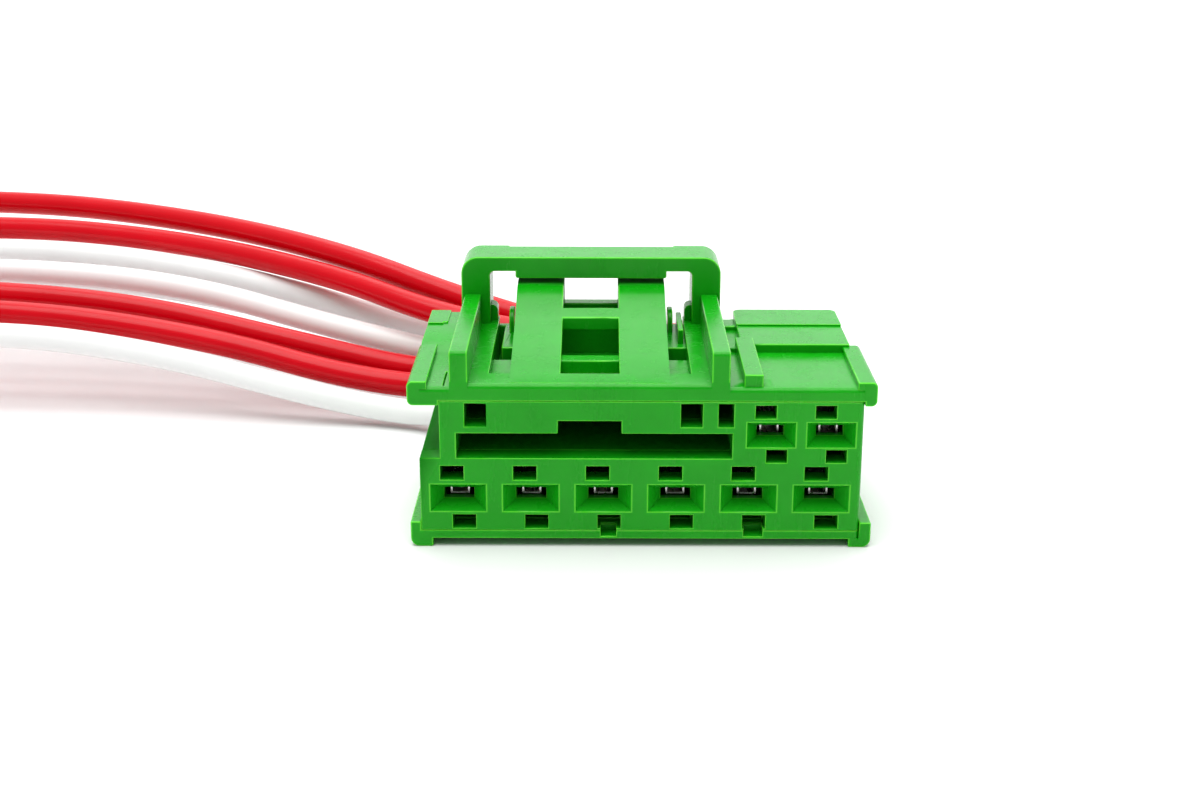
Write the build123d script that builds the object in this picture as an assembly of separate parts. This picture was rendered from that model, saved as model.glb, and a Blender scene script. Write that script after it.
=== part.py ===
from build123d import *
import math
import os

# Wire harness connector: one moulded housing with a flexing latch arm under a guard bow,
# a front retainer, eight crimp receptacles and eight insulated wires that leave the rear.
# Millimetres. X runs to the right, Y from the mating face to the wire side, Z up.
# Depths named "d" are measured from the mating face towards the rear.

# Rows of cavities: six in the lower row, two above on the right
ROW_PITCH = 5.0
ROW_COUNT = 6
ROW_SHIFT = -0.1
ROW_FIRST_X = ROW_SHIFT - ROW_PITCH * (ROW_COUNT - 1) / 2
ROW_LAST_X = ROW_SHIFT + ROW_PITCH * (ROW_COUNT - 1) / 2

# Housing envelope
BODY_DEPTH = 17.6
BOW_OVERHANG = 1.7
BOW_REAR = BODY_DEPTH + BOW_OVERHANG
FRONT = -BOW_REAR / 2
BODY_LEFT = ROW_FIRST_X - 2.6
BODY_RIGHT = ROW_LAST_X + 2.72
BODY_BOTTOM = 0.6
LEDGE_WIDTH = 1.4
LEDGE_TOP = 6.52
UPPER_LEFT = BODY_LEFT + LEDGE_WIDTH
FLANGE_BOTTOM = 10.27
RAIL_OVERHANG = 0.83
RAIL_OUTER = BODY_RIGHT + RAIL_OVERHANG
RAIL_TOP = 12.0
RAIL_WIDTH = 1.35
RAIL_LENGTH = 9.1
RAIL_NOTCH_WIDTH = 0.57
RAIL_NOTCH_DEPTH = 0.8
RAIL_NOTCH_Z = (11.05, 11.44)
PLATE_INSET = 0.5
REAR_FLANGE_LEFT = BODY_LEFT - 0.57
SIDE_PLATE_TOP = 11.57
PLATE_TOP = 11.8
PLATE_EDGE_RADIUS = 0.35
CORNER_RADIUS = 0.4
LUG_REACH = 0.14
LUG_DEPTH = 0.9
LUG_Z = [(6.1, 6.35), (7.2, 8.4)]
JOIN = 0.1

# Feet, two L-shaped runners under the body
FOOT_STRIP_WIDTH = 1.55
FOOT_STRIP_HEIGHT = 0.65
FOOT_FIN_TOP = 1.84
FOOT_CORNER_RADIUS = 0.6

# Latch: side ribs, guard bow, arm with two straps
LATCH_X = BODY_LEFT + 11.65
RIB_OUTER = 9.5
RIB_THICKNESS = 1.25
RIB_TOP = 14.1
RIB_EDGE_RADIUS = 0.3
BOW_FRONT = BODY_DEPTH - 2.3
BOW_FLARE = 0.24
BOW_OUTER = RIB_OUTER + BOW_FLARE
BOW_LEG = 2.16
BOW_TOP = 16.95
BOW_UNDERSIDE = 15.85
BOW_DROP = 0.53
BOW_MIDDLE_HALF = 5.67
BOW_RADIUS = 1.3
BOW_WINDOW_RADIUS = 0.35
BOW_BACK_RELIEF = 0.35
BOW_BACK_RELIEF_HALF = 6.25
BOW_FOOT_Z = 11.2
BOW_REAR_LIFT = 0.6
GUSSET_DEPTH = 1.4
GUSSET_REACH = 0.5
GUSSET_TOP = 13.05
WELL_HALF = 7.0
WELL_FRONT = 2.7
DECK_Z = 10.9
REAR_DECK_Z = 11.2
DECK_GAP_FRONT = 8.9
DECK_GAP_REAR = 11.0
DECK_GAP_FLOOR = 9.0
DECK_SLOT_HALF = 2.3
DECK_SLOT_REAR = 17.0
DECK_SLIT_WIDTH = 0.45
ARM_HALF = 5.5
ARM_THICKNESS = 0.95
ARM_WINDOW_FRONT = 2.4
ARM_TOP_PATH = [
    (0.02, 11.82),
    (0.135, 11.88),
    (0.284, 12.27),
    (0.426, 12.78),
    (0.625, 13.6),
    (0.739, 14.3),
    (0.818, 14.78),
    (0.909, 14.95),
    (1.0, 14.9),
]
ARM_WINDOW_HALF = 2.03
CROSSBAR_FRONT = 10.8
CROSSBAR_REAR = 12.1
CATCH_FRONT = 5.0
CATCH_REAR = 6.4
CATCH_TOP = 12.0
CATCH_HEIGHT = 0.95
TIE_FRONT = BODY_DEPTH - 0.4
TIE_REAR = BODY_DEPTH + 0.9
TIE_TOP = 12.9
TIE_HEIGHT = 0.9
TIE_RADIUS = 0.9
STOP_HALF = 6.17
STOP_THICKNESS = 0.4
STOP_FRONT = BODY_DEPTH - 2.6
STOP_REAR = BODY_DEPTH - 0.2
STOP_TOP = 12.85
STOP_RADIUS = 1.0
WELL_RIB_HALF = 6.85
WELL_RIB_THICKNESS = 0.4
WELL_RIB_FRONT = 12.0
WELL_RIB_TOP = 12.3

# Raised slabs behind the rails, and the key rib
SLAB_LEFT = LATCH_X + RIB_OUTER + 1.35
SLAB_FRONT = 8.6
SLAB_STEP = 13.4
SLAB_TOP = 12.2
SLAB_STEP_HEIGHT = 0.15
SLAB_REAR_RADIUS = 0.6
KEY_RIB_LEFT = SLAB_LEFT - 0.37
KEY_RIB_WIDTH = 1.3
KEY_RIB_FRONT = 0.35
KEY_RIB_REAR = 9.6
KEY_RIB_TOP = 12.43
LEFT_PAD_FRONT = 7.6
LEFT_PAD_RISE = 1.9
LEFT_PAD_TOP = 12.1
LEFT_BLOCK_WIDTH = 1.5
LEFT_BLOCK_FRONT = BODY_DEPTH - 3.6
LEFT_BLOCK_TOP = 12.24
LEFT_BLOCK_NOTCH = 0.3
TIE_RIB_WIDTH = 0.5
TIE_RIB_TOP = 11.9
PANEL_SLIT_LEFT = 0.5
PANEL_SLIT_WIDTH = 0.12
PANEL_SLIT = (0.5, 3.7)

# Mating slots in the front, windows as (left, right) from the latch centre line
SLOT_LEFT = UPPER_LEFT + 1.14
SLOT_RIGHT = LATCH_X + 9.74
SLOT_Z = (6.51, 8.3)
SLOT_DEPTH = 10.0
SLOT_NOTCH_HALF = 2.17
SLOT_NOTCH_TOP = 9.2
SLOT_NOTCH_DEPTH = 7.5
SQUARE_WINDOWS = [(-8.52, -7.02), (6.2, 7.68), (8.76, 9.81)]
SQUARE_WINDOW_Z = (8.78, 10.44)
SQUARE_WINDOW_DEPTH = 8.5

# Cavities with their lead-ins, apertures and test windows
PAIR_X = [BODY_RIGHT - 6.29, BODY_RIGHT - 2.2]
ROW_FUNNEL_Z = 3.6
ROW_FUNNEL = (3.9, 2.0)
ROW_APERTURE = (2.08, 0.79)
ROW_WINDOW = (1.6, 1.0)
ROW_UPPER_WINDOW_Z = 5.43
ROW_LOWER_WINDOW_Z = 1.87
ROW_TERMINAL_Z = 3.22
PAIR_FUNNEL_Z = 8.23
PAIR_FUNNEL = (3.37, 1.82)
PAIR_APERTURE = (1.86, 0.74)
PAIR_WINDOW = (1.42, 0.92)
PAIR_UPPER_WINDOW_Z = 9.87
PAIR_LOWER_WINDOW_Z = 6.69
PAIR_TERMINAL_Z = 7.7
WINDOW_SHIFT = 0.4
PROBE_NOTCHES = {2: (-0.18, 0.89), 4: (-0.28, 1.03)}
PROBE_NOTCH_DEPTH = 1.2
PROBE_NOTCH_FLOOR = 0.2
FUNNEL_DEPTH = 1.1
TUNNEL_HALF = 1.35
TUNNEL_BELOW = 0.3
TUNNEL_ABOVE = 2.45
LANCE_POCKET_HALF = 1.1
LANCE_POCKET_REAR = 9.6
LANCE_POCKET_HEIGHT = 1.45
LANCE_HALF = 0.6
LANCE_FRONT = 6.0
LANCE_THICKNESS = 0.55
LANCE_DROP = 0.6
REAR_MOUTH_DEPTH = 2.4
REAR_MOUTH_DROP = 1.0

# Front retainer, a plate with guide fingers that fills the recess in the mating face
RETAINER_THICKNESS = 1.8
RETAINER_BOTTOM = 1.25
RETAINER_TOP = 10.6
FINGER_WIDTH = 1.1
FINGER_Z = (2.3, 3.5)
FINGER_LENGTH = 3.0
FINGER_CLEARANCE = 0.05

# Crimp receptacle, bent from thin tinned strip
SHEET = 0.12
BOX_HALF = 0.66
BOX_HEIGHT = 1.47
BOX_FRONT = RETAINER_THICKNESS + 0.15
BOX_LENGTH = 6.0
SPRING_HALF = 0.35
SPRING_FRONT = 2.2
SPRING_LENGTH = 3.0
SPRING_HEIGHT = 0.3
NECK_HALF = 0.55
NECK_HEIGHT = 0.9
STRIP_LAP = 0.3
CORE_CRIMP_FRONT = 8.9
CORE_CRIMP_LENGTH = 2.4
CORE_CRIMP_WALL = 0.22
JACKET_CRIMP_FRONT = 12.2
JACKET_CRIMP_LENGTH = 1.7
JACKET_CRIMP_WALL = 0.18

# Wires: stranded copper core in a round jacket
JACKET_DIAMETER = 2.1
CORE_DIAMETER = 1.3
CORE_START = 8.6
JACKET_START = 11.8
STRIPPED_END = 5.0
WIRE_CENTRE = JACKET_DIAMETER / 2

# Where each wire ends its straight run out of its cavity, and its route from there as corner
# points (x, y, z) of the centre line. Wires 1 and 6 come down to the floor.
EXIT_Y = [6.3, 8.0, 8.5, 8.8, 9.0, 9.0, 8.1, 8.4]
ROUTES = [
    [(-13.0, 10.6, 2.9), (-15.4, 14.2, 1.7), (-20.2, 16.2, 1.3), (-28.0, 17.2, 2.7), (-40.0, 19.9, 5.1),
     (-54.0, 20.9, 6.8), (-72.0, 20.3, 6.0), (-91.0, 17.8, 3.7), (-108.0, 14.2, 1.33)],
    [(-7.6, 14.0, 3.7), (-11.9, 18.3, 2.6), (-22.5, 19.4, 2.7), (-37.0, 22.5, 5.9),
     (-55.0, 24.6, 7.8), (-74.0, 24.9, 7.0), (-93.0, 23.0, 5.0), (-104.0, 21.0, 3.3)],
    [(-2.6, 15.5, 4.0), (-7.2, 20.2, 3.4), (-17.5, 21.2, 3.0), (-29.0, 24.2, 4.8),
     (-44.5, 27.3, 7.6), (-63.0, 28.9, 8.4), (-82.0, 28.3, 7.9), (-98.0, 26.0, 6.2)],
    [(2.4, 16.5, 4.4), (-2.4, 21.6, 4.1), (-13.0, 23.4, 3.4), (-26.0, 26.6, 5.5),
     (-40.0, 30.0, 8.6), (-57.0, 32.4, 9.4), (-76.0, 33.3, 8.8), (-93.0, 32.0, 7.5)],
    [(7.4, 17.8, 4.1), (2.4, 24.8, 4.2), (-8.0, 27.6, 4.3), (-18.7, 28.5, 4.7),
     (-32.0, 32.1, 8.0), (-49.0, 36.0, 10.1), (-68.0, 38.3, 9.8), (-84.0, 38.4, 8.9)],
    [(12.4, 18.5, 2.5), (8.0, 27.2, 1.2), (-3.5, 31.5, 1.1), (-17.0, 32.9, 1.7),
     (-31.5, 35.8, 4.6), (-48.5, 39.4, 6.6), (-67.0, 42.2, 7.2), (-80.0, 42.8, 6.6)],
    [(8.83, 14.2, 8.3), (4.4, 18.8, 6.8), (-6.0, 20.6, 6.3), (-16.5, 23.0, 7.6),
     (-26.5, 29.4, 9.6), (-42.0, 37.2, 10.9), (-60.5, 41.4, 11.5), (-78.5, 43.3, 10.3)],
    [(12.92, 15.2, 8.3), (8.6, 21.2, 6.6), (-3.5, 22.9, 5.8), (-14.5, 25.4, 8.3),
     (-26.5, 31.8, 11.2), (-42.0, 40.2, 12.4), (-60.0, 46.0, 12.9), (-77.0, 49.0, 12.1)],
]


def block(x0, x1, d0, d1, z0, z1):
    """Box between two X values, two depths behind the mating face and two heights."""
    centre = Pos((x0 + x1) / 2, FRONT + (d0 + d1) / 2, (z0 + z1) / 2)
    return centre * Box(x1 - x0, d1 - d0, z1 - z0)


def mirrored(shape_from_half, outer, inner):
    """The same piece left and right of the latch centre line."""
    left = shape_from_half(LATCH_X - outer, LATCH_X - inner)
    right = shape_from_half(LATCH_X + inner, LATCH_X + outer)
    return left + right


def front_outline(points, d0, d1):
    """Prism with an outline drawn in the mating face (x, z), between two depths."""
    face = make_face(Polyline(*points, close=True))
    plane = Plane(origin=(0, FRONT + d1, 0), x_dir=(1, 0, 0), z_dir=(0, -1, 0))
    return extrude(plane * face, d1 - d0)


def side_outline(sketch, x0, x1):
    """Prism with an outline drawn in the side view (y, z), between two X values."""
    return extrude(Plane.YZ.offset(x0) * sketch, x1 - x0)


def funnel(x, z, outer, inner):
    """Tapered lead-in from the mating face down to the aperture of a cavity."""
    mouth_plane = Plane(origin=(x, FRONT, z), x_dir=(1, 0, 0), z_dir=(0, 1, 0))
    throat_plane = mouth_plane.offset(FUNNEL_DEPTH)
    mouth = mouth_plane * Rectangle(outer[0], outer[1])
    throat = throat_plane * Rectangle(inner[0], inner[1])
    return loft([mouth.face(), throat.face()])


def window(x, z, size, d0, d1):
    return block(x - size[0] / 2, x + size[0] / 2, d0, d1, z - size[1] / 2, z + size[1] / 2)


def row_x():
    return [ROW_FIRST_X + i * ROW_PITCH for i in range(ROW_COUNT)]


def cavities():
    """(x, terminal height) of the eight cavities, lower row first."""
    return [(x, ROW_TERMINAL_Z) for x in row_x()] + [(x, PAIR_TERMINAL_Z) for x in PAIR_X]


def body_points(bottom, top):
    """Mating-face outline of the body with its ledge on the left."""
    return [
        (BODY_LEFT, bottom),
        (BODY_RIGHT, bottom),
        (BODY_RIGHT, top),
        (UPPER_LEFT, top),
        (UPPER_LEFT, LEDGE_TOP),
        (BODY_LEFT, LEDGE_TOP),
    ]


def foot(side):
    """L-shaped runner, side is -1 for the left and 1 for the right."""
    wall = -BODY_LEFT if side < 0 else BODY_RIGHT
    points = [
        (side * (RAIL_OUTER - FOOT_STRIP_WIDTH), 0),
        (side * RAIL_OUTER, 0),
        (side * RAIL_OUTER, FOOT_FIN_TOP),
        (side * wall, FOOT_FIN_TOP),
        (side * wall, FOOT_STRIP_HEIGHT),
        (side * (RAIL_OUTER - FOOT_STRIP_WIDTH), FOOT_STRIP_HEIGHT),
    ]
    runner = front_outline(points, 0, BODY_DEPTH)
    corner = runner.edges().filter_by(Axis.Y).sort_by(lambda e: side * e.center().X - e.center().Z)
    return fillet(corner[-1], FOOT_CORNER_RADIUS)


def rail(side):
    """Guide rail along the front half of the top edge, with a small hook at its front."""
    x0, x1 = sorted((side * RAIL_OUTER, side * (RAIL_OUTER - RAIL_WIDTH)))
    bar = block(x0, x1, 0, RAIL_LENGTH, FLANGE_BOTTOM, RAIL_TOP)
    outer_edges = bar.edges().filter_by(Axis.Y).sort_by(lambda e: side * e.center().X)[2:]
    bar = fillet(outer_edges, CORNER_RADIUS)
    inner = RAIL_OUTER - RAIL_WIDTH
    n0, n1 = sorted((side * (inner - JOIN), side * (inner + RAIL_NOTCH_WIDTH - JOIN)))
    return bar - block(n0, n1, 0, RAIL_NOTCH_DEPTH, *RAIL_NOTCH_Z)


def front_rounded(plate, radius):
    """The plate with its upper front edge rounded."""
    edge = plate.edges().filter_by(Axis.X).group_by(Axis.Y)[0].sort_by(Axis.Z)[-1]
    return fillet(edge, radius)


def top_plate():
    """Top wall: middle plate between lower side plates, with the front edge rounded."""
    front_half = RAIL_OUTER - PLATE_INSET
    sides = block(-front_half, front_half, 0, RAIL_LENGTH, FLANGE_BOTTOM, SIDE_PLATE_TOP)
    sides += block(REAR_FLANGE_LEFT, BODY_RIGHT, RAIL_LENGTH - JOIN, BODY_DEPTH, FLANGE_BOTTOM, SIDE_PLATE_TOP)
    middle = block(LATCH_X - RIB_OUTER, LATCH_X + RIB_OUTER, 0, BODY_DEPTH, FLANGE_BOTTOM, PLATE_TOP)
    return front_rounded(sides, PLATE_EDGE_RADIUS) + front_rounded(middle, PLATE_EDGE_RADIUS)


def right_slabs():
    """Stepped slab at the right rear, the key rib in front of it and the two tie ribs."""
    slab = block(SLAB_LEFT, BODY_RIGHT, SLAB_FRONT, BODY_DEPTH, SIDE_PLATE_TOP - JOIN, SLAB_TOP)
    slab += block(SLAB_LEFT, BODY_RIGHT, SLAB_STEP, BODY_DEPTH, SIDE_PLATE_TOP - JOIN,
                  SLAB_TOP + SLAB_STEP_HEIGHT)
    rear_corners = slab.edges().filter_by(Axis.Z).group_by(Axis.Y)[-1]
    slab = fillet(rear_corners, SLAB_REAR_RADIUS)
    slab += block(KEY_RIB_LEFT, KEY_RIB_LEFT + KEY_RIB_WIDTH, KEY_RIB_FRONT, KEY_RIB_REAR,
                  SIDE_PLATE_TOP - JOIN, KEY_RIB_TOP)
    rib_right = LATCH_X + RIB_OUTER
    for d in (SLAB_FRONT, SLAB_STEP + 1.0):
        slab += block(rib_right - JOIN, SLAB_LEFT + JOIN, d, d + TIE_RIB_WIDTH, FLANGE_BOTTOM, TIE_RIB_TOP)
    return slab


def left_pad():
    """Pad that rises behind the left rail, with a low block at its rear."""
    low = SIDE_PLATE_TOP - JOIN
    points = [
        (FRONT + LEFT_PAD_FRONT, low),
        (FRONT + LEFT_PAD_FRONT + LEFT_PAD_RISE, LEFT_PAD_TOP),
        (FRONT + BODY_DEPTH, LEFT_PAD_TOP),
        (FRONT + BODY_DEPTH, low),
    ]
    outline = make_face(Polyline(*points, close=True))
    pad = side_outline(outline, REAR_FLANGE_LEFT, LATCH_X - RIB_OUTER + JOIN)
    right = REAR_FLANGE_LEFT + LEFT_BLOCK_WIDTH
    top = block(REAR_FLANGE_LEFT, right, LEFT_BLOCK_FRONT, BODY_DEPTH, low, LEFT_BLOCK_TOP)
    top -= block(right - LEFT_BLOCK_NOTCH, right, LEFT_BLOCK_FRONT, LEFT_BLOCK_FRONT + LEFT_BLOCK_NOTCH,
                 LEFT_PAD_TOP, LEFT_BLOCK_TOP)
    return pad + top


def latch_well():
    """Space cut in the top wall under the arm, with openings down towards the cavities."""
    x0 = LATCH_X - WELL_HALF
    x1 = LATCH_X + WELL_HALF
    well = block(x0, x1, WELL_FRONT, DECK_GAP_REAR, DECK_Z, BOW_TOP)
    well += block(x0, x1, DECK_GAP_REAR - JOIN, BOW_REAR, REAR_DECK_Z, BOW_TOP)
    well += block(x0, x1, DECK_GAP_FRONT, DECK_GAP_REAR, DECK_GAP_FLOOR, BOW_TOP)
    well += block(LATCH_X - DECK_SLOT_HALF, LATCH_X + DECK_SLOT_HALF, DECK_GAP_FRONT, DECK_SLOT_REAR,
                  DECK_GAP_FLOOR, BOW_TOP)
    well += block(x0, x0 + DECK_SLIT_WIDTH, DECK_GAP_FRONT, DECK_SLOT_REAR, DECK_GAP_FLOOR, BOW_TOP)
    return well


def latch_arm():
    """Springy arm: two straps from the front edge of the plate, tied low at the rear."""
    top = Spline(*[(FRONT + share * BODY_DEPTH, z) for share, z in ARM_TOP_PATH])
    under = Spline(*[(FRONT + share * BODY_DEPTH, z - ARM_THICKNESS) for share, z in ARM_TOP_PATH])
    outline = top + Line(top @ 1, under @ 1) + under + Line(under @ 0, top @ 0)
    arm = side_outline(make_face(outline), LATCH_X - ARM_HALF, LATCH_X + ARM_HALF)
    window_x = (LATCH_X - ARM_WINDOW_HALF, LATCH_X + ARM_WINDOW_HALF)
    arm -= block(*window_x, ARM_WINDOW_FRONT, CROSSBAR_FRONT, DECK_Z - JOIN, BOW_TOP)
    arm -= block(*window_x, CROSSBAR_REAR, BOW_REAR, DECK_Z - JOIN, BOW_TOP)
    arm += block(window_x[0] - JOIN, window_x[1] + JOIN, CATCH_FRONT, CATCH_REAR,
                 CATCH_TOP - CATCH_HEIGHT, CATCH_TOP)
    tie_bottom = TIE_TOP - TIE_HEIGHT
    arm += block(LATCH_X - ARM_HALF, LATCH_X + ARM_HALF, TIE_FRONT, TIE_REAR, tie_bottom, TIE_TOP)
    drop_top = ARM_TOP_PATH[-1][1]
    for x0, x1 in ((LATCH_X - ARM_HALF, window_x[0]), (window_x[1], LATCH_X + ARM_HALF)):
        drop = block(x0, x1, TIE_FRONT, TIE_REAR, tie_bottom, drop_top)
        upper_rear = drop.edges().filter_by(Axis.X).sort_by(lambda e: e.center().Y + e.center().Z)[-1]
        arm += fillet(upper_rear, TIE_RADIUS)
    return arm


def guard_bow():
    """Square bow over the end of the arm, standing on the ribs and the rear of the body."""
    x0 = LATCH_X - BOW_OUTER
    x1 = LATCH_X + BOW_OUTER
    bow = block(x0, x1, BOW_FRONT, BOW_REAR, BOW_FOOT_Z, BOW_TOP)
    bow = fillet(bow.edges().filter_by(Axis.Y).group_by(Axis.Z)[-1], BOW_RADIUS)
    inner = BOW_OUTER - BOW_LEG
    gate = block(LATCH_X - inner, LATCH_X + inner, BOW_FRONT, BOW_REAR, BOW_FOOT_Z, BOW_UNDERSIDE)
    gate = fillet(gate.edges().filter_by(Axis.Y).group_by(Axis.Z)[-1], BOW_WINDOW_RADIUS)
    bow -= gate
    middle = block(LATCH_X - BOW_MIDDLE_HALF, LATCH_X + BOW_MIDDLE_HALF, BOW_FRONT, BOW_REAR,
                   BOW_UNDERSIDE - BOW_DROP, BOW_UNDERSIDE + JOIN)
    bow += fillet(middle.edges().filter_by(Axis.Y).group_by(Axis.Z)[0], BOW_WINDOW_RADIUS / 2)
    bow -= block(LATCH_X - BOW_BACK_RELIEF_HALF, LATCH_X + BOW_BACK_RELIEF_HALF,
                 BOW_REAR - BOW_BACK_RELIEF, BOW_REAR, BOW_FOOT_Z, BOW_TOP)
    bow -= block(x0, x1, BODY_DEPTH, BOW_REAR, BOW_FOOT_Z, PLATE_TOP + BOW_REAR_LIFT)
    for side in (-1, 1):
        g0, g1 = sorted((LATCH_X + side * (inner - GUSSET_REACH), LATCH_X + side * (inner + JOIN)))
        gusset = block(g0, g1, BODY_DEPTH - GUSSET_DEPTH, BODY_DEPTH, REAR_DECK_Z - JOIN, GUSSET_TOP)
        upper = gusset.edges().filter_by(Axis.Y).sort_by(lambda e: e.center().Z - side * e.center().X)[-1]
        bow += fillet(upper, GUSSET_REACH * 0.9)
    return bow


def side_ribs():
    """Two walls along the arm, running back into the legs of the bow."""
    def rib(x0, x1):
        wall = block(x0, x1, 0, BOW_FRONT + JOIN, FLANGE_BOTTOM, RIB_TOP)
        return front_rounded(wall, RIB_EDGE_RADIUS)
    return mirrored(rib, RIB_OUTER, RIB_OUTER - RIB_THICKNESS)


def stop_posts():
    """Thin posts that keep the arm from being bent too far, and the rib beside the right one."""
    def post(x0, x1):
        plate = block(x0, x1, STOP_FRONT, STOP_REAR, REAR_DECK_Z - JOIN, STOP_TOP)
        return fillet(plate.edges().filter_by(Axis.X).group_by(Axis.Z)[-1], STOP_RADIUS)
    posts = mirrored(post, STOP_HALF, STOP_HALF - STOP_THICKNESS)
    return posts + block(LATCH_X + WELL_RIB_HALF - WELL_RIB_THICKNESS, LATCH_X + WELL_RIB_HALF,
                         WELL_RIB_FRONT, DECK_SLOT_REAR, REAR_DECK_Z - JOIN, WELL_RIB_TOP)


def small_marks():
    """Lugs on the right flank beside the retainer joint."""
    depths = (RETAINER_THICKNESS, RETAINER_THICKNESS + LUG_DEPTH)
    return Part() + [block(BODY_RIGHT - JOIN, BODY_RIGHT + LUG_REACH, *depths, z0, z1) for z0, z1 in LUG_Z]


def panel_slit():
    """Narrow slit in the left side plate beside the rib."""
    x0 = LATCH_X - RIB_OUTER - PANEL_SLIT_LEFT
    return block(x0, x0 + PANEL_SLIT_WIDTH, *PANEL_SLIT, SIDE_PLATE_TOP - 3 * JOIN, RIB_TOP)


def probe_notches():
    """Notches in the lower front edge that run up into the windows above them."""
    cuts = [block(row_x()[i] + left, row_x()[i] + right, 0, PROBE_NOTCH_DEPTH,
                  BODY_BOTTOM + PROBE_NOTCH_FLOOR, ROW_LOWER_WINDOW_Z)
            for i, (left, right) in PROBE_NOTCHES.items()]
    return Part() + cuts


def mating_slots(d0):
    """Slot and windows for the mating half, open from depth d0 backwards."""
    cut = block(SLOT_LEFT, SLOT_RIGHT, d0, SLOT_DEPTH, *SLOT_Z)
    cut += block(LATCH_X - SLOT_NOTCH_HALF, LATCH_X + SLOT_NOTCH_HALF, d0, SLOT_NOTCH_DEPTH,
                 SLOT_Z[1] - JOIN, SLOT_NOTCH_TOP)
    for left, right in SQUARE_WINDOWS:
        cut += block(LATCH_X + left, LATCH_X + right, d0, SQUARE_WINDOW_DEPTH, *SQUARE_WINDOW_Z)
    return cut


def tunnel(x, z):
    """Cavity for one receptacle, with the pocket of its lance below."""
    floor = z - TUNNEL_BELOW
    ceiling = z + TUNNEL_ABOVE
    cut = block(x - TUNNEL_HALF, x + TUNNEL_HALF, RETAINER_THICKNESS, BODY_DEPTH, floor, ceiling)
    cut += block(x - LANCE_POCKET_HALF, x + LANCE_POCKET_HALF, RETAINER_THICKNESS, LANCE_POCKET_REAR,
                 floor - LANCE_POCKET_HEIGHT, floor + JOIN)
    return cut


def rear_mouth(x, z):
    """Widened rear end of a lower cavity, where the wire bends down."""
    floor = z - TUNNEL_BELOW
    return block(x - TUNNEL_HALF, x + TUNNEL_HALF, BODY_DEPTH - REAR_MOUTH_DEPTH, BODY_DEPTH,
                 floor - REAR_MOUTH_DROP, floor + JOIN)


def lance(x, z):
    """Flexible finger of the housing that holds the receptacle from below."""
    top = z - LANCE_DROP
    return block(x - LANCE_HALF, x + LANCE_HALF, LANCE_FRONT, LANCE_POCKET_REAR + JOIN,
                 top - LANCE_THICKNESS, top)


def finger_positions():
    xs = row_x()
    return [(a + b) / 2 for a, b in zip(xs, xs[1:])]


def fingers(clearance):
    half = FINGER_WIDTH / 2 + clearance
    rear = RETAINER_THICKNESS + FINGER_LENGTH + clearance
    low = FINGER_Z[0] - clearance
    high = FINGER_Z[1] + clearance
    return Part() + [block(x - half, x + half, RETAINER_THICKNESS - JOIN, rear, low, high)
                     for x in finger_positions()]


def right_rounded(body, radius):
    """The body with its upright front edge on the right rounded."""
    upright = body.edges().filter_by(Axis.Z).group_by(Axis.Y)[0].sort_by(Axis.X)[-1]
    return fillet(upright, radius)


def housing():
    body = front_outline(body_points(BODY_BOTTOM, FLANGE_BOTTOM + JOIN), 0, BODY_DEPTH)
    body = right_rounded(body, CORNER_RADIUS)
    body += top_plate() + right_slabs() + left_pad()
    body += rail(-1) + rail(1) + foot(-1) + foot(1) + small_marks()
    body -= latch_well() + panel_slit()
    body += side_ribs() + guard_bow() + stop_posts() + latch_arm()
    body -= front_outline(body_points(RETAINER_BOTTOM, RETAINER_TOP), 0, RETAINER_THICKNESS)
    body -= mating_slots(RETAINER_THICKNESS - JOIN)
    for x, z in cavities():
        body -= tunnel(x, z)
    for x in row_x():
        body -= rear_mouth(x, ROW_TERMINAL_Z)
    for x, z in cavities():
        body += lance(x, z)
    return body - fingers(FINGER_CLEARANCE) - probe_notches()


def front_retainer():
    plate = front_outline(body_points(RETAINER_BOTTOM, RETAINER_TOP), 0, RETAINER_THICKNESS)
    plate = right_rounded(plate, CORNER_RADIUS)
    plate -= mating_slots(-JOIN) + probe_notches()
    groups = [
        (row_x(), ROW_FUNNEL_Z, ROW_FUNNEL, ROW_APERTURE, ROW_WINDOW, ROW_UPPER_WINDOW_Z, ROW_LOWER_WINDOW_Z),
        (PAIR_X, PAIR_FUNNEL_Z, PAIR_FUNNEL, PAIR_APERTURE, PAIR_WINDOW, PAIR_UPPER_WINDOW_Z,
         PAIR_LOWER_WINDOW_Z),
    ]
    for xs, funnel_z, mouth, throat, opening, upper_z, lower_z in groups:
        for x in xs:
            plate -= funnel(x, funnel_z, mouth, throat)
            plate -= window(x, funnel_z, throat, FUNNEL_DEPTH - JOIN, RETAINER_THICKNESS)
            plate -= window(x - WINDOW_SHIFT, upper_z, opening, 0, RETAINER_THICKNESS)
            plate -= window(x + WINDOW_SHIFT, lower_z, opening, 0, RETAINER_THICKNESS)
    plate += fingers(0)
    return plate


def wire_height(terminal_z):
    """Height of the wire's centre line in a cavity."""
    return terminal_z + WIRE_CENTRE


def rod(x, z, diameter, d0, d1):
    """Round bar along Y between two depths."""
    plane = Plane(origin=(x, FRONT + d0, z), x_dir=(1, 0, 0), z_dir=(0, 1, 0))
    return extrude(plane * Circle(diameter / 2), d1 - d0)


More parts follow.
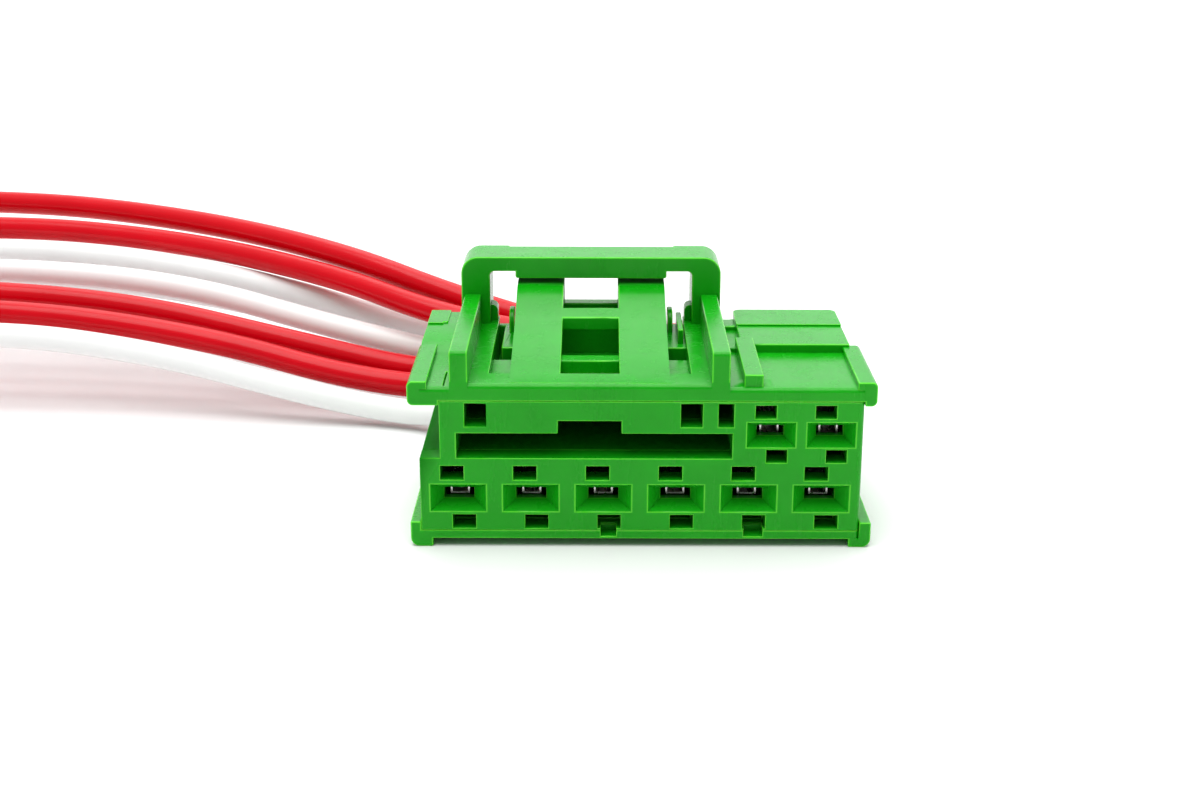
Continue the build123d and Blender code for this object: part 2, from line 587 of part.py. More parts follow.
def terminal(x, z):
    """Receptacle box, neck, core crimp and jacket crimp of one contact."""
    box_rear = BOX_FRONT + BOX_LENGTH
    box = block(x - BOX_HALF, x + BOX_HALF, BOX_FRONT, box_rear, z, z + BOX_HEIGHT)
    inner_x = (x - BOX_HALF + SHEET, x + BOX_HALF - SHEET)
    box -= block(*inner_x, BOX_FRONT, box_rear, z + SHEET, z + BOX_HEIGHT - SHEET)
    spring_front = BOX_FRONT + SPRING_FRONT
    spring = block(x - SPRING_HALF, x + SPRING_HALF, spring_front, spring_front + SPRING_LENGTH, z + SHEET,
                   z + SHEET + SPRING_HEIGHT)
    neck = block(x - NECK_HALF, x + NECK_HALF, box_rear, CORE_CRIMP_FRONT, z, z + NECK_HEIGHT)
    neck -= block(x - NECK_HALF + SHEET, x + NECK_HALF - SHEET, box_rear, CORE_CRIMP_FRONT, z + SHEET,
                  z + NECK_HEIGHT)
    centre = wire_height(z)
    crimp_rear = CORE_CRIMP_FRONT + CORE_CRIMP_LENGTH
    jacket_rear = JACKET_CRIMP_FRONT + JACKET_CRIMP_LENGTH
    crimp = rod(x, centre, CORE_DIAMETER + 2 * CORE_CRIMP_WALL, CORE_CRIMP_FRONT, crimp_rear)
    crimp += block(x - NECK_HALF, x + NECK_HALF, CORE_CRIMP_FRONT, crimp_rear, z, centre)
    strip = block(x - NECK_HALF, x + NECK_HALF, box_rear - STRIP_LAP, jacket_rear, z - SHEET, z)
    ring = rod(x, centre, JACKET_DIAMETER + 2 * JACKET_CRIMP_WALL, JACKET_CRIMP_FRONT, jacket_rear)
    piece = box + spring + neck + crimp + strip + ring
    piece -= rod(x, centre, CORE_DIAMETER, CORE_START, JACKET_START)
    return piece - rod(x, centre, JACKET_DIAMETER, JACKET_START, jacket_rear)


def turn_radii(points):
    """Arc radius at each corner, as large as its two runs allow."""
    radii = []
    for before, here, after in zip(points, points[1:], points[2:]):
        first = Vector(*here) - Vector(*before)
        second = Vector(*after) - Vector(*here)
        half_turn = math.radians(first.get_angle(second)) / 2
        radii.append(0.45 * min(first.length, second.length) / math.tan(half_turn))
    return radii


def wire_path(index):
    """Centre line of a jacket from its crimp to its cut end."""
    x, z = cavities()[index]
    start = (x, FRONT + JACKET_START, wire_height(z))
    points = [start, (x, EXIT_Y[index], wire_height(z))] + ROUTES[index]
    radii = turn_radii(points)
    path = FilletPolyline(*points, radius=radii)
    return path, radii, points


def wire(index):
    """Jacket and copper core of one wire."""
    path, radii, points = wire_path(index)
    x, z = cavities()[index]
    start_plane = Plane(origin=path @ 0, z_dir=path % 0)
    jacket = sweep(start_plane * (Circle(JACKET_DIAMETER / 2) - Circle(CORE_DIAMETER / 2)), path)
    core = sweep(start_plane * Circle(CORE_DIAMETER / 2), path)
    core += rod(x, wire_height(z), CORE_DIAMETER, CORE_START, JACKET_START)
    end_plane = Plane(origin=path @ 1, z_dir=path % 1)
    core += extrude(end_plane * Circle(CORE_DIAMETER / 2), STRIPPED_END)
    section = math.pi * (JACKET_DIAMETER ** 2 - CORE_DIAMETER ** 2) / 4
    print(f"wire {index + 1}: length {path.length:.1f}, tightest radius {min(radii):.1f},",
          f"volume {jacket.volume:.1f} against {section * path.length:.1f}")
    return jacket, core


def save(name, shape):
    export_step(shape, f"parts/{name}.step")


os.makedirs("parts", exist_ok=True)
save("housing", housing())
save("front_retainer", front_retainer())
for number, (cavity_x, cavity_z) in enumerate(cavities(), start=1):
    save(f"terminal_{number}", terminal(cavity_x, cavity_z))
    jacket, core = wire(number - 1)
    save(f"wire_{number}", jacket)
    save(f"core_{number}", core)
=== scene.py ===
import math

import bmesh
import bpy
import numpy as np
from mathutils import Matrix, Vector


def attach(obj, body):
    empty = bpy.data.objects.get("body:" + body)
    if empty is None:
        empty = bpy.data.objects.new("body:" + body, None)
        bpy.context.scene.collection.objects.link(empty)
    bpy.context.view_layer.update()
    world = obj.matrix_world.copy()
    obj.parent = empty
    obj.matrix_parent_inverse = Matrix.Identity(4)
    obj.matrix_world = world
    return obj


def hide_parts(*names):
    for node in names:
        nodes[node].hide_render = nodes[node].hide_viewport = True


MM = 0.001

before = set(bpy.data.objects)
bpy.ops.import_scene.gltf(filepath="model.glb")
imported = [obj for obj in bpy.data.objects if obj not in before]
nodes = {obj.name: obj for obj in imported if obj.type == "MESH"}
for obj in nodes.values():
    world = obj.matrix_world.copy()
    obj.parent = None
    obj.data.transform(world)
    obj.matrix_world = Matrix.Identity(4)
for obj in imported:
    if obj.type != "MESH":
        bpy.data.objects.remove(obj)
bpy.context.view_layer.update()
scene = bpy.context.scene


def add_object(name, data):
    obj = bpy.data.objects.new(name, data)
    scene.collection.objects.link(obj)
    return obj


# Camera at the photograph's viewing angle: place, sensor and focal length in mm, angles in degrees

CAMERA_PLACE = (-2.85, -123.93, 47.97)
CAMERA_PITCH = 90 - 18.05
CAMERA_ROLL = 0.16
SENSOR = 36.0
FOCAL = 53.31
NEAREST = 0.001
FARTHEST = 20


def add_camera():
    data = bpy.data.cameras.new("camera")
    data.sensor_width = SENSOR
    data.lens = FOCAL
    data.clip_start = NEAREST
    data.clip_end = FARTHEST
    camera = add_object("camera", data)
    place = Matrix.Translation(Vector(CAMERA_PLACE) * MM)
    pitch = Matrix.Rotation(math.radians(CAMERA_PITCH), 4, "X")
    roll = Matrix.Rotation(math.radians(CAMERA_ROLL), 4, "Z")
    camera.matrix_world = place @ pitch @ roll
    scene.camera = camera


# Materials

NOISE_LOW, NOISE_HIGH = 0.3, 0.7  # where most values of a noise lie
GRAIN_DEPTH = 3e-6
MIX_FACTOR, MIX_FIRST, MIX_SECOND, MIX_RESULT = 0, 6, 7, 2  # sockets of a mix node for colours


class Nodes:
    """Short calls for building the node tree of a material or a world."""

    def __init__(self, owner):
        owner.use_nodes = True
        self.tree = owner.node_tree
        self.coords = self.add("ShaderNodeTexCoord").outputs

    def add(self, kind, inputs=None, **settings):
        node = self.tree.nodes.new(kind)
        for key, value in settings.items():
            setattr(node, key, value)
        self.fill(node, inputs or {})
        return node

    def fill(self, node, inputs):
        """Give a node's inputs, by name or number, plain values or other nodes' outputs."""
        for key, value in inputs.items():
            if hasattr(value, "is_linked"):
                self.tree.links.new(value, node.inputs[key])
            else:
                node.inputs[key].default_value = value


class Surface(Nodes):
    """A material with its shader and the patterns that its look is made of."""

    def __init__(self, name):
        self.material = bpy.data.materials.new(name)
        super().__init__(self.material)
        self.shader = self.tree.nodes["Principled BSDF"]

    def noise(self, scale, detail, roughness=0.5, stretch=(1, 1, 1)):
        mapping = self.add("ShaderNodeMapping", {"Vector": self.coords["Object"], "Scale": stretch})
        node = self.add("ShaderNodeTexNoise", {
            "Vector": mapping.outputs["Vector"], "Scale": scale, "Detail": detail,
            "Roughness": roughness})
        return node.outputs["Fac"]

    def spread(self, value, low, high):
        """A noise stretched over the range from low to high."""
        node = self.add("ShaderNodeMapRange", {
            "Value": value, "From Min": NOISE_LOW, "From Max": NOISE_HIGH, "To Min": low,
            "To Max": high})
        return node.outputs["Result"]

    def add_up(self, value, share, extra):
        """The value with a share of something extra on top."""
        node = self.add("ShaderNodeMath", {0: share, 1: extra, 2: value}, operation="MULTIPLY_ADD")
        return node.outputs["Value"]

    def mix(self, factor, first, second):
        """A mix of two colours, each three numbers or another node's output."""
        node = self.add("ShaderNodeMix", {MIX_FACTOR: factor}, data_type="RGBA")
        for key, colour in ((MIX_FIRST, first), (MIX_SECOND, second)):
            self.fill(node, {key: (*colour, 1) if isinstance(colour, tuple) else colour})
        return node.outputs[MIX_RESULT]

    def attribute(self, name):
        return self.add("ShaderNodeAttribute", attribute_name=name).outputs["Fac"]

    def bump(self, height, strength):
        node = self.add("ShaderNodeBump", {
            "Height": height, "Distance": GRAIN_DEPTH, "Strength": strength})
        return node.outputs["Normal"]

    def set(self, **values):
        """Fill the shader's inputs, written with underscores for the spaces in their names."""
        self.fill(self.shader, {key.replace("_", " "): value for key, value in values.items()})


# Painted shade: the dark green of the cavities and shaded places, where the surface is also made
# rougher
PAINTED_SHADE_GREEN = (0.002, 0.2, 0.003)
SHADED_PLACE_ROUGHNESS = 0.65


def moulded_green(name, dark, light, edge_highlight):
    """Slightly translucent nylon: clouded, with a painted highlight on its rounded edges, and
    painted shade with a duller surface in the cavities and shaded places.
    """
    n = Surface(name)
    cloud = n.spread(n.noise(scale=260, detail=3), 0.0, 1.0)
    # Painted highlight: the rounded edges get a paler lime green
    green_with_highlight = n.mix(n.attribute("edge"), n.mix(cloud, dark, light), edge_highlight)
    # Painted shade: share of the dark green at each point
    painted_shade_fac = n.attribute("shade_paint")
    grain = n.noise(scale=9000, detail=2, roughness=0.6)
    flow = n.noise(scale=900, detail=4, roughness=0.55, stretch=(1, 1, 0.25))
    n.set(
        Base_Color=n.mix(painted_shade_fac, green_with_highlight, PAINTED_SHADE_GREEN),
        Roughness=n.add_up(n.spread(flow, 0.2, 0.3), painted_shade_fac, SHADED_PLACE_ROUGHNESS),
        Normal=n.bump(grain, 0.5),
        Specular_Tint=(0.95, 1, 0.82, 1),
        IOR=1.34,
        Subsurface_Weight=0.6,
        Subsurface_Radius=(0.5, 1.0, 0.25),
        Subsurface_Scale=0.0005,
    )
    return n.material


def insulation(name, base, shade):
    """Extruded wire insulation with faint lengthwise streaks and a satin skin."""
    n = Surface(name)
    cloud = n.spread(n.noise(scale=160, detail=3), 0.0, 1.0)
    streak = n.noise(scale=1500, detail=3, roughness=0.6, stretch=(0.08, 1, 1))
    skin = n.noise(scale=6000, detail=2)
    n.set(
        Base_Color=n.mix(cloud, base, shade),
        Roughness=n.spread(streak, 0.18, 0.26),
        Normal=n.bump(skin, 0.4),
        IOR=1.3,
    )
    return n.material


def metal(name, base, dull, smoothest, roughest):
    """Stamped or drawn metal with brushed streaks and faint staining."""
    n = Surface(name)
    stain = n.spread(n.noise(scale=700, detail=4), 0.0, 1.0)
    brush = n.noise(scale=5000, detail=3, roughness=0.6, stretch=(1, 0.1, 1))
    n.set(
        Base_Color=n.mix(stain, base, dull),
        Metallic=1.0,
        Roughness=n.spread(brush, smoothest, roughest),
        Normal=n.bump(brush, 0.5),
    )
    return n.material


def floor_paint():
    n = Surface("floor_white")
    n.set(Base_Color=(0.82, 0.82, 0.82, 1), Roughness=0.7, Specular_IOR_Level=0.1)
    return n.material


# The third colour of each green is the painted highlight on its rounded edges
HOUSING_GREEN = moulded_green(
    "moulded_green", (0.003, 0.32, 0.004), (0.005, 0.365, 0.006), (0.13, 0.72, 0.04))
RETAINER_GREEN = moulded_green(
    "retainer_green", (0.004, 0.32, 0.005), (0.006, 0.365, 0.007), (0.12, 0.68, 0.035))
RED = insulation("red_insulation", (0.63, 0.0006, 0.008), (0.58, 0.0005, 0.007))
WHITE = insulation("white_insulation", (0.88, 0.88, 0.875), (0.85, 0.85, 0.845))
TIN = metal("tinned_strip", (0.78, 0.77, 0.74), (0.6, 0.59, 0.56), 0.22, 0.4)
COPPER = metal("bare_copper", (0.86, 0.42, 0.24), (0.6, 0.27, 0.14), 0.25, 0.42)


# Mouldings: copies of the solids with every outer edge rounded

# Places on the housing, in mm
FRONT = -9.65
REAR_Y = 7.95
BODY_LEFT = -15.2
BODY_RIGHT = 15.12
BODY_BOTTOM = 0.6
UPPER_LEFT = -13.8
LEDGE_TOP = 6.52
DECK = 10.9
LATCH_X = -3.55
ARM_HALF = 5.5

# Seams: the axis across the seam, the range of X that it is cut in, and its places, in mm
ALL_X = (-20, 20)
LEFT_RIB_X = (-13.2, -11.7)
RIGHT_RIB_X = (4.6, 6.1)
SEAM_CUTS = [
    ("X", ALL_X, [-7.6, -2.6, 2.42, 3.1, 4.5, 7.12, 8.95]),
    ("Y", ALL_X, [-7.4]),
    ("Z", LEFT_RIB_X, [12.0, 12.4]),
    ("Z", RIGHT_RIB_X, [12.0, 12.4]),
]

# Angles: edges sharper than SHARP are rounded, facets flatter than CLEAN are joined
SHARP = math.radians(24)
CLEAN = math.radians(1.0)

# Cosines between neighbouring edges that go on in nearly the same or in exactly the same line
STRAIGHT = 0.85
DEAD_STRAIGHT = 0.9999

# Lengths, in metres
MERGE = 0.002 * MM  # points this close are one
SNAP = 0.05 * MM  # points this close to a seam count as on it
THINNEST = 0.008 * MM  # an edge with no more room than this stays sharp
LONG = 0.3 * MM  # edges longer than this may differ in width at a seam
TOUCHING = 1e-7  # sides this close to each other meet

# Room where nothing is near, in metres, and the share of a gap for each of two roundings or for
# one alone; rooms within the factor SAME_ROOM count as the same
WIDE_OPEN = 1.0
SHARED, ALONE = 0.4, 0.8
SAME_ROOM = 1.001

BEVEL_SEGMENTS = 2
FLAT, ROUND = 0, 1  # material slots that tell the flat faces from the rounded ones


def end_room(edge, vertex, rounded):
    """Room at one end of an edge: a share of the least edge there that leaves the edge's line."""
    along = (edge.other_vert(vertex).co - vertex.co).normalized()
    room = WIDE_OPEN
    for other in vertex.link_edges:
        far = other.other_vert(vertex)
        direction = far.co - vertex.co
        if other is edge or direction.normalized().dot(along) < -STRAIGHT:
            continue
        shared = any(rounded[e.index] for e in far.link_edges if e is not other)
        room = min(room, direction.length * (SHARED if shared else ALONE))
    return room


def face_rooms(face, rounded):
    """Room of each side of a flat face: a share of its distance from the sides across it."""
    points = np.array([v.co for v in face.verts])
    side = np.roll(points, -1, axis=0) - points
    length = np.linalg.norm(side, axis=1)
    unit = side / length[:, None]
    # Distance of every point from every side, then the same between every two sides
    offset = points[None, :, :] - points[:, None, :]
    along = np.clip((offset * unit[:, None, :]).sum(axis=2), 0, length[:, None])
    gap = np.linalg.norm(offset - along[:, :, None] * unit[:, None, :], axis=2)
    gap = np.minimum(gap, np.roll(gap, -1, axis=1))
    gap = np.minimum(gap, gap.T)
    # Sides that follow each other in nearly one line have the same run number
    turn = (unit * np.roll(unit, 1, axis=0)).sum(axis=1)
    run = np.cumsum(turn < STRAIGHT)
    run[run == run[-1]] = 0 if turn[0] >= STRAIGHT else run[-1]
    number = np.arange(len(points))
    step = np.abs(number[:, None] - number[None, :])
    beside = (step <= 1) | (step == len(points) - 1)
    gap[beside | (run[:, None] == run[None, :]) | (gap < TOUCHING)] = WIDE_OPEN
    across = np.array([rounded[edge.index] for edge in face.edges])
    return (gap * np.where(across, SHARED, ALONE)[None, :]).min(axis=1)


def pass_on(bm, room, rounded):
    """Narrow every rounded edge to the least room on its line, so that a rounding keeps its width.

    At a seam the width may change between two long edges in a dead straight line."""
    waiting = [e for e in bm.edges if rounded[e.index]]
    while waiting:
        edge = waiting.pop()
        for vertex in edge.verts:
            along = (edge.other_vert(vertex).co - vertex.co).normalized()
            for other in vertex.link_edges:
                if other is edge or not rounded[other.index]:
                    continue
                turn = (other.other_vert(vertex).co - vertex.co).normalized().dot(along)
                long = min(edge.calc_length(), other.calc_length()) > LONG
                at_seam = any(e.seam for e in vertex.link_edges)
                free = turn < -DEAD_STRAIGHT and long and at_seam
                wider = room[other.index] > room[edge.index] * SAME_ROOM
                if turn < -STRAIGHT and not free and wider:
                    room[other.index] = room[edge.index]
                    waiting.append(other)


def rounded_widths(bm, width):
    """Bevel width of every convex edge, even along each line and kept clear of what is near."""
    bm.edges.index_update()
    rounded = [len(e.link_faces) == 2 and e.calc_face_angle_signed(0) > SHARP for e in bm.edges]
    room = [width if convex else 0.0 for convex in rounded]
    for edge in bm.edges:
        if rounded[edge.index]:
            room[edge.index] = min(width, *(end_room(edge, v, rounded) for v in edge.verts))
    for face in bm.faces:
        if len(face.verts) > 3 or any(rounded[e.index] for e in face.edges):
            for edge, free in zip(face.edges, face_rooms(face, rounded)):
                room[edge.index] = min(room[edge.index], free)
    pass_on(bm, room, rounded)
    return room


def cut_seams(bm):
    """Straight seams through the openings and beside the tight places, for simple flat faces."""
    for axis, (low, high), places in SEAM_CUTS:
        normal = Vector((axis == "X", axis == "Y", axis == "Z"))
        for place in places:
            faces = [f for f in bm.faces if all(low * MM < v.co.x < high * MM for v in f.verts)]
            # Keys of a dict keep their order, so the cut is the same each run
            edges = dict.fromkeys(e for f in faces for e in f.edges)
            verts = dict.fromkeys(v for f in faces for v in f.verts)
            cut = bmesh.ops.bisect_plane(bm, geom=[*verts, *edges, *faces], dist=SNAP,
                                         plane_co=normal * place * MM, plane_no=normal)
            for item in cut["geom_cut"]:
                if isinstance(item, bmesh.types.BMEdge):
                    item.seam = True


# Places with painted shade, in mm: the body without its skin, the flank under the left flange, and
# # the ends of the latch arm's straps under the bow
SKIN = 0.2
FRONT_FADE = (FRONT + 0.8, FRONT + 3.0)
REAR_FADE = (-REAR_Y, 2.0 - REAR_Y)
FLANK_X = UPPER_LEFT + 0.02
FLANK_Z = (LEDGE_TOP - 0.1, DECK - 0.6)
UNDER_BOW_HALF = ARM_HALF + 0.1
UNDER_BOW_Y = 5.6
UNDER_BOW_Z = (13.5, 15.2)


def ramp(value, low, high):
    return min(1.0, max(0.0, (value - low) / (high - low)))


def painted_shade_share(place):
    """Share of painted shade at a point, from 0 on the outside to 1 in the cavities and shaded
    places.
    """
    x, y, z = place
    left = BODY_LEFT if z < LEDGE_TOP else UPPER_LEFT
    if left + SKIN < x < BODY_RIGHT - SKIN and BODY_BOTTOM + SKIN < z < DECK - SKIN:
        return min(ramp(y, *FRONT_FADE), ramp(-y, *REAR_FADE))
    on_flank = x < FLANK_X and FLANK_Z[0] < z < FLANK_Z[1]
    at_arm_end = abs(x - LATCH_X) < UNDER_BOW_HALF and y > UNDER_BOW_Y
    under_bow = at_arm_end and UNDER_BOW_Z[0] < z < UNDER_BOW_Z[1]
    return 1.0 if on_flank or under_bow else 0.0


def weighted_mesh(node, name, width):
    """Mesh of a moulded node with plain flat faces and a bevel weight on every edge."""
    bm = bmesh.new()
    bm.from_mesh(nodes[node].data)
    bmesh.ops.remove_doubles(bm, verts=bm.verts, dist=MERGE)
    cut_seams(bm)
    bmesh.ops.dissolve_limit(bm, angle_limit=CLEAN, verts=bm.verts, edges=bm.edges,
                             delimit={"SEAM"})
    weight = bm.edges.layers.float.new("bevel_weight_edge")
    for edge, room in zip(bm.edges, rounded_widths(bm, width)):
        if len(edge.link_faces) == 2:
            edge.smooth = abs(edge.calc_face_angle_signed(0)) < SHARP
        edge[weight] = room / width if room > THINNEST else 0.0
    mesh = bpy.data.meshes.new(name)
    bm.to_mesh(mesh)
    bm.free()
    return mesh


def rounded_copy(node, name, width, material):
    """Bevelled copy of a moulded node, with the values that its material reads at each point:
    edge on the rounded edges, which get a painted highlight, and the share of painted shade in
    the cavities and shaded places."""
    mesh = weighted_mesh(node, name, width)
    mesh.materials.clear()
    for _ in (FLAT, ROUND):
        mesh.materials.append(material)
    for polygon in mesh.polygons:
        polygon.material_index = FLAT
        polygon.use_smooth = True
    obj = add_object(name, mesh)
    bevel = obj.modifiers.new("round", "BEVEL")
    bevel.limit_method = "WEIGHT"
    bevel.offset_type = "OFFSET"
    bevel.width = width
    bevel.segments = BEVEL_SEGMENTS
    bevel.use_clamp_overlap = False
    bevel.harden_normals = True
    bevel.material = ROUND
    bpy.context.view_layer.update()
    evaluated = obj.evaluated_get(bpy.context.evaluated_depsgraph_get())
    final = bpy.data.meshes.new_from_object(evaluated)
    obj.modifiers.clear()
    obj.data = final
    final.name = name

    on_flat = set()
    for polygon in final.polygons:
        if polygon.material_index == FLAT:
            on_flat.update(polygon.vertices)
    # Per point: edge marks the bevelled faces that get the painted highlight, the other value is
    # the share of painted shade
    point_values = {
        "edge": [0.0 if v.index in on_flat else 1.0 for v in final.vertices],
        "shade_paint": [painted_shade_share(v.co / MM) for v in final.vertices],
    }
    for key, values in point_values.items():
        final.attributes.new(key, "FLOAT", "POINT").data.foreach_set("value", values)
    for polygon in final.polygons:
        polygon.material_index = FLAT
    final.materials.pop(index=ROUND)
    return obj


# Wires: each runs straight from its crimp out of the rear, then along its route; places in mm

JACKET_RADIUS = 1.05 * MM
JACKET_ROUNDNESS = 7
JACKET_STEPS = 14
SPLINE_ORDER = 3
STRIPPED = 5.0 * MM
TUCKED_IN = 1.0 * MM
CRIMP_START = 2.15
CORE_START = -1.05
ROW_Z = 4.27
PAIR_Z = 8.75
WIRE_X = [-12.6, -7.6, -2.6, 2.4, 7.4, 12.4, 8.83, 12.92]
WIRE_Z = [ROW_Z] * 6 + [PAIR_Z] * 2
EXIT_Y = [6.3, 8.0, 8.5, 8.8, 9.0, 9.0, 8.1, 8.4]
RED_WIRES = (2, 3, 7, 8)
ROUTES = [
    [(-13.0, 10.6, 2.9), (-15.4, 14.2, 1.7), (-20.2, 16.2, 1.3),
     (-28.0, 17.2, 2.7), (-40.0, 19.9, 5.1), (-54.0, 20.9, 6.8),
     (-72.0, 20.3, 6.0), (-91.0, 17.8, 3.7), (-108.0, 14.2, 1.33)],
    [(-7.6, 14.0, 3.7), (-11.9, 18.3, 2.6), (-22.5, 19.4, 2.7), (-37.0, 22.5, 5.9),
     (-55.0, 24.6, 7.8), (-74.0, 24.9, 7.0), (-93.0, 23.0, 5.0), (-104.0, 21.0, 3.3)],
    [(-2.6, 15.5, 4.0), (-7.2, 20.2, 3.4), (-17.5, 21.2, 3.0), (-29.0, 24.2, 4.8),
     (-44.5, 27.3, 7.6), (-63.0, 28.9, 8.4), (-82.0, 28.3, 7.9), (-98.0, 26.0, 6.2)],
    [(2.4, 16.5, 4.4), (-2.4, 21.6, 4.1), (-13.0, 23.4, 3.4), (-26.0, 26.6, 5.5),
     (-40.0, 30.0, 8.6), (-57.0, 32.4, 9.4), (-76.0, 33.3, 8.8), (-93.0, 32.0, 7.5)],
    [(7.4, 17.8, 4.1), (2.4, 24.8, 4.2), (-8.0, 27.6, 4.3), (-18.7, 28.5, 4.7),
     (-32.0, 32.1, 8.0), (-49.0, 36.0, 10.1), (-68.0, 38.3, 9.8), (-84.0, 38.4, 8.9)],
    [(12.4, 18.5, 2.5), (8.0, 27.2, 1.2), (-3.5, 31.5, 1.1), (-17.0, 32.9, 1.7),
     (-31.5, 35.8, 4.6), (-48.5, 39.4, 6.6), (-67.0, 42.2, 7.2), (-80.0, 42.8, 6.6)],
    [(8.83, 14.2, 8.3), (4.4, 18.8, 6.8), (-6.0, 20.6, 6.3), (-16.5, 23.0, 7.6),
     (-26.5, 29.4, 9.6), (-42.0, 37.2, 10.9), (-60.5, 41.4, 11.5), (-78.5, 43.3, 10.3)],
    [(12.92, 15.2, 8.3), (8.6, 21.2, 6.6), (-3.5, 22.9, 5.8), (-14.5, 25.4, 8.3),
     (-26.5, 31.8, 11.2), (-42.0, 40.2, 12.4), (-60.0, 46.0, 12.9), (-77.0, 49.0, 12.1)],
]


def wire_points(index):
    x, z = WIRE_X[index], WIRE_Z[index]
    points = [(x, CRIMP_START, z), (x, EXIT_Y[index], z)] + ROUTES[index]
    return [Vector(p) * MM for p in points]


def jacket(index):
    """Insulation of one wire as a smooth round curve."""
    number = index + 1
    points = wire_points(index)
    curve = bpy.data.curves.new(f"jacket_{number}", "CURVE")
    curve.dimensions = "3D"
    curve.bevel_depth = JACKET_RADIUS
    curve.bevel_resolution = JACKET_ROUNDNESS
    curve.resolution_u = JACKET_STEPS
    curve.use_fill_caps = True
    spline = curve.splines.new("NURBS")
    spline.points.add(len(points) - 1)
    for target, point in zip(spline.points, points):
        target.co = (*point, 1)
    spline.order_u = SPLINE_ORDER
    spline.use_endpoint_u = True
    spline.use_smooth = True
    obj = add_object(f"jacket_{number}", curve)
    curve.materials.append(RED if number in RED_WIRES else WHITE)
    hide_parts(f"wire_{number}")
    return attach(obj, "root")


STRAND_RADIUS = 0.127 * MM
STRAND_PITCH = 0.256 * MM
STRAND_RINGS = ((1, 6), (2, 12))
STRAND_SIDES = 8
STRAND_STEPS = 12
LAY_LENGTH = 16 * MM

# The strands of a bundle are cut at five lengths, each shorter by this share
CUT_STEP = 0.012
CUT_STEPS = 5


def strand_places():
    """Distance and angle from the middle of nineteen strands packed in a round bundle."""
    places = [(0.0, 0.0)]
    for ring, count in STRAND_RINGS:
        for i in range(count):
            angle = 2 * math.pi * (i + 0.5 * (ring - 1)) / count
            places.append((ring * STRAND_PITCH, angle))
    return places


def add_strands(bm, start, end):
    """Twisted bundle of copper strands between two points."""
    axis = (end - start).normalized()
    side = axis.cross(Vector((0, 0, 1))).normalized()
    up = side.cross(axis)
    length = (end - start).length
    for number, (radius, angle) in enumerate(strand_places()):
        rings = []
        reach = length * (1 - CUT_STEP * (number * 7 % CUT_STEPS))
        for step in range(STRAND_STEPS + 1):
            along = reach * step / STRAND_STEPS
            turn = angle + 2 * math.pi * along / LAY_LENGTH
            centre = start + axis * along + (side * math.cos(turn) + up * math.sin(turn)) * radius
            ring = []
            for k in range(STRAND_SIDES):
                a = 2 * math.pi * k / STRAND_SIDES
                rim = (side * math.cos(a) + up * math.sin(a)) * STRAND_RADIUS
                ring.append(bm.verts.new(centre + rim))
            rings.append(ring)
        for first, second in zip(rings, rings[1:]):
            for k in range(STRAND_SIDES):
                m = (k + 1) % STRAND_SIDES
                bm.faces.new((first[k], first[m], second[m], second[k])).smooth = True
        bm.faces.new(list(reversed(rings[0])))
        bm.faces.new(rings[-1])


def conductor(index):
    """Bare strands at the cut end of a wire and in its crimp, tucked into the jacket."""
    number = index + 1
    points = wire_points(index)
    bm = bmesh.new()
    out = (points[-1] - points[-2]).normalized()
    add_strands(bm, points[-1] - out * TUCKED_IN, points[-1] + out * STRIPPED)
    back = Vector((points[0].x, CORE_START * MM, points[0].z))
    add_strands(bm, back, points[0] + Vector((0, TUCKED_IN, 0)))
    bmesh.ops.recalc_face_normals(bm, faces=bm.faces)
    mesh = bpy.data.meshes.new(f"strands_{number}")
    bm.to_mesh(mesh)
    bm.free()
    mesh.materials.append(COPPER)
    obj = add_object(f"strands_{number}", mesh)
    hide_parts(f"core_{number}")
    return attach(obj, "root")


# Floor and studio light

FLOOR_HALF = 3.0

# Distant lamps: name, energy, width in degrees, direction that the light comes from
LAMPS = [
    ("key", 2.3, 50, (-0.1, -0.25, 1.0)),
    ("sheen", 0.7, 40, (0.0, 0.6, 1.0)),
]

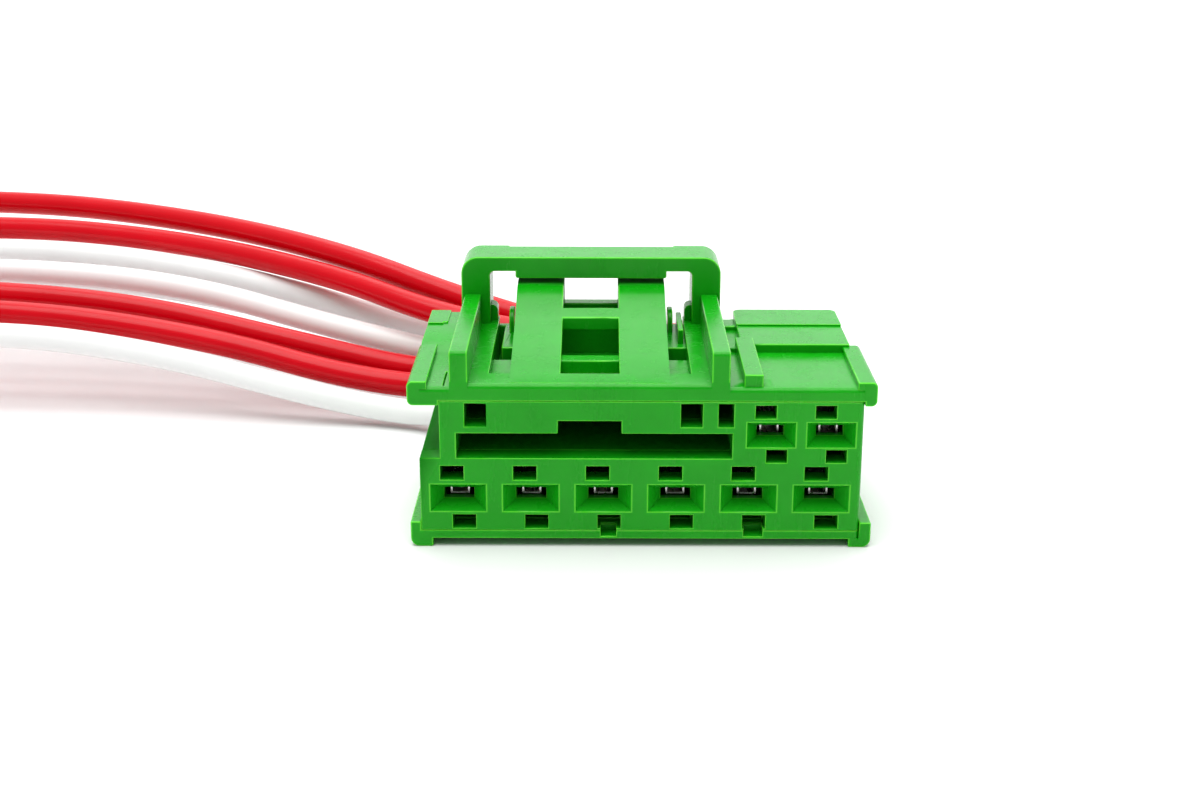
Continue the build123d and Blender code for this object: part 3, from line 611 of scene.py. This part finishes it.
# Surround: direction of its bright middle, how fast it falls off, its gain and its least level
BRIGHT_SIDE = (0, 0.75, 0.66)
FALL_OFF = 2.6
BRIGHT_GAIN = 1.05
LEAST_LIGHT = 0.3


def add_floor():
    h = FLOOR_HALF
    mesh = bpy.data.meshes.new("floor")
    mesh.from_pydata([(-h, -h, 0), (h, -h, 0), (h, h, 0), (-h, h, 0)], [], [(0, 1, 2, 3)])
    floor = add_object("floor", mesh)
    mesh.materials.append(floor_paint())


def add_lamp(name, energy, width, towards):
    """Broad distant light, soft enough for a contact shadow without a hard rim."""
    data = bpy.data.lights.new(name, "SUN")
    data.energy = energy
    data.angle = math.radians(width)
    lamp = add_object(name, data)
    lamp.rotation_euler = Vector(towards).to_track_quat("Z", "Y").to_euler()


def add_world():
    """Studio surround with its bright side above and behind, dim on the camera's side."""
    scene.world = bpy.data.worlds.new("studio")
    n = Nodes(scene.world)
    towards = n.add("ShaderNodeVectorMath", {0: n.coords["Generated"], 1: BRIGHT_SIDE},
                    operation="DOT_PRODUCT")
    share = n.add("ShaderNodeMapRange", {
        "Value": towards.outputs["Value"], "From Min": -1.0, "From Max": 1.0})
    power = n.add("ShaderNodeMath", {0: share.outputs["Result"], 1: FALL_OFF}, operation="POWER")
    level = n.add("ShaderNodeMath", {0: power.outputs["Value"], 1: BRIGHT_GAIN, 2: LEAST_LIGHT},
                  operation="MULTIPLY_ADD")
    n.fill(n.tree.nodes["Background"], {"Color": (1, 1, 1, 1), "Strength": level.outputs["Value"]})


add_camera()
scene.view_settings.view_transform = "Standard"

MOULDINGS = [
    ("housing", "moulded_housing", 0.12 * MM, HOUSING_GREEN, "housing_green"),
    ("front_retainer", "moulded_retainer", 0.08 * MM, RETAINER_GREEN, "retainer_green"),
]
for node, name, width, material, slot in MOULDINGS:
    piece = rounded_copy(node, name, width, material)
    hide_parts(node)
    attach(piece, "root")

for index in range(8):
    cord = jacket(index)
    strands = conductor(index)
    contact = nodes[f"terminal_{index + 1}"]
    for material_slot in contact.material_slots:
        material_slot.material = TIN

add_floor()
for lamp in LAMPS:
    add_lamp(*lamp)
add_world()
